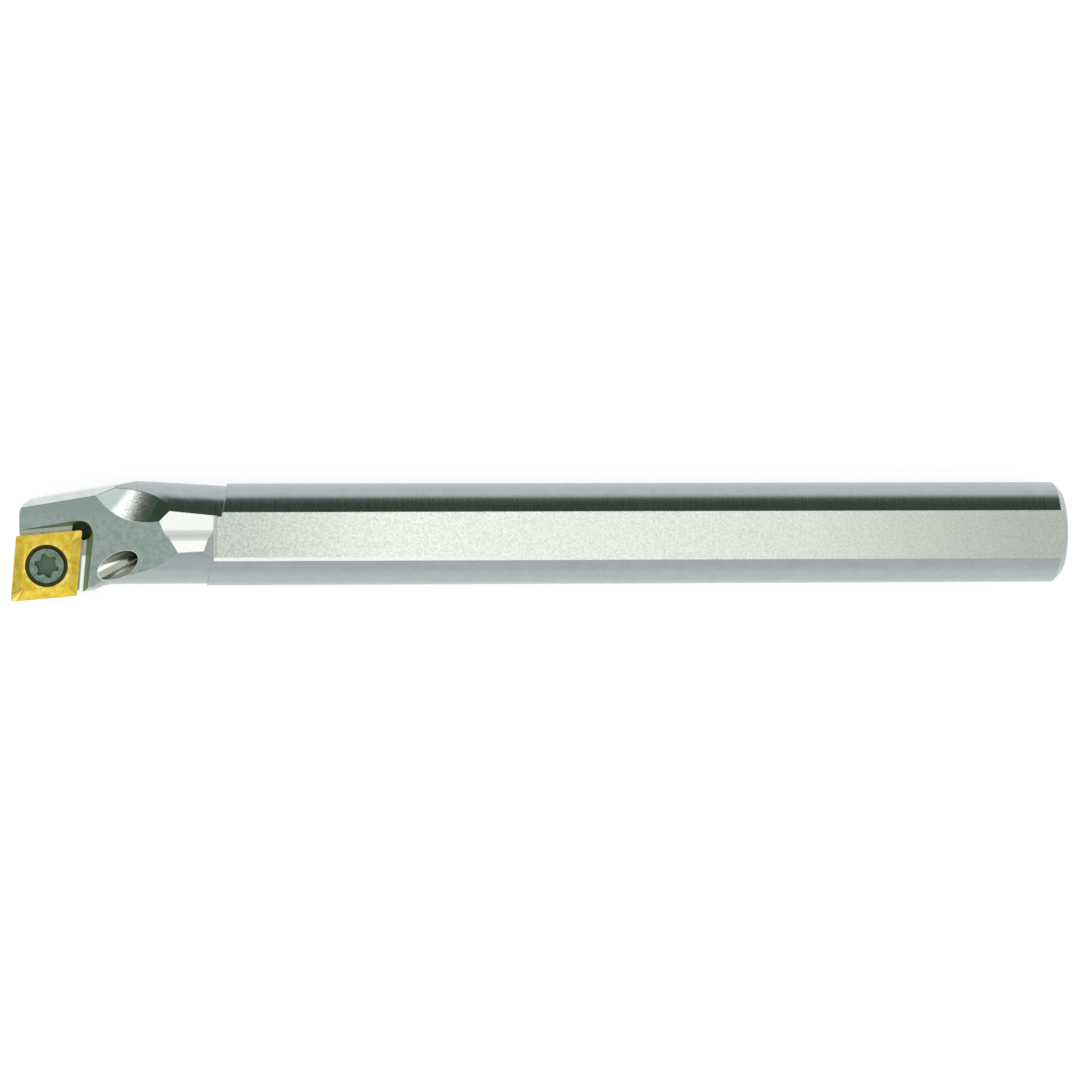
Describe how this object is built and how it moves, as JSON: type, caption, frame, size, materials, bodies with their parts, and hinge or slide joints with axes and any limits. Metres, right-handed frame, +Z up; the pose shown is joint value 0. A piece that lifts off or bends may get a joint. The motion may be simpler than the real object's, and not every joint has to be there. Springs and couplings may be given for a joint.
{
  "type": "boring bar",
  "caption": "Steel boring bar: round shank with milled flats, slanted coolant outlet and a screw-clamped gold insert on the angled head.",
  "frame": {"origin": "centre of the rear end face, on the shank's axis", "axes": "+X along the shank from the head to the rear end, +Z up out of the upper clamping flat, +Y towards the back of the head, away from the cutting tip"},
  "size_m": [0.2082, 0.0236, 0.0181],
  "materials": {
    "bar": "satin, ground shank and milled head",
    "insert": "gold-coloured titanium nitride coating, satin",
    "clamping_screw": "dark phosphated steel"
  },
  "bodies": {
    "root": {"bar": "bar", "insert": "insert", "clamping_screw": "clamping_screw"}
  },
  "joints": []
}
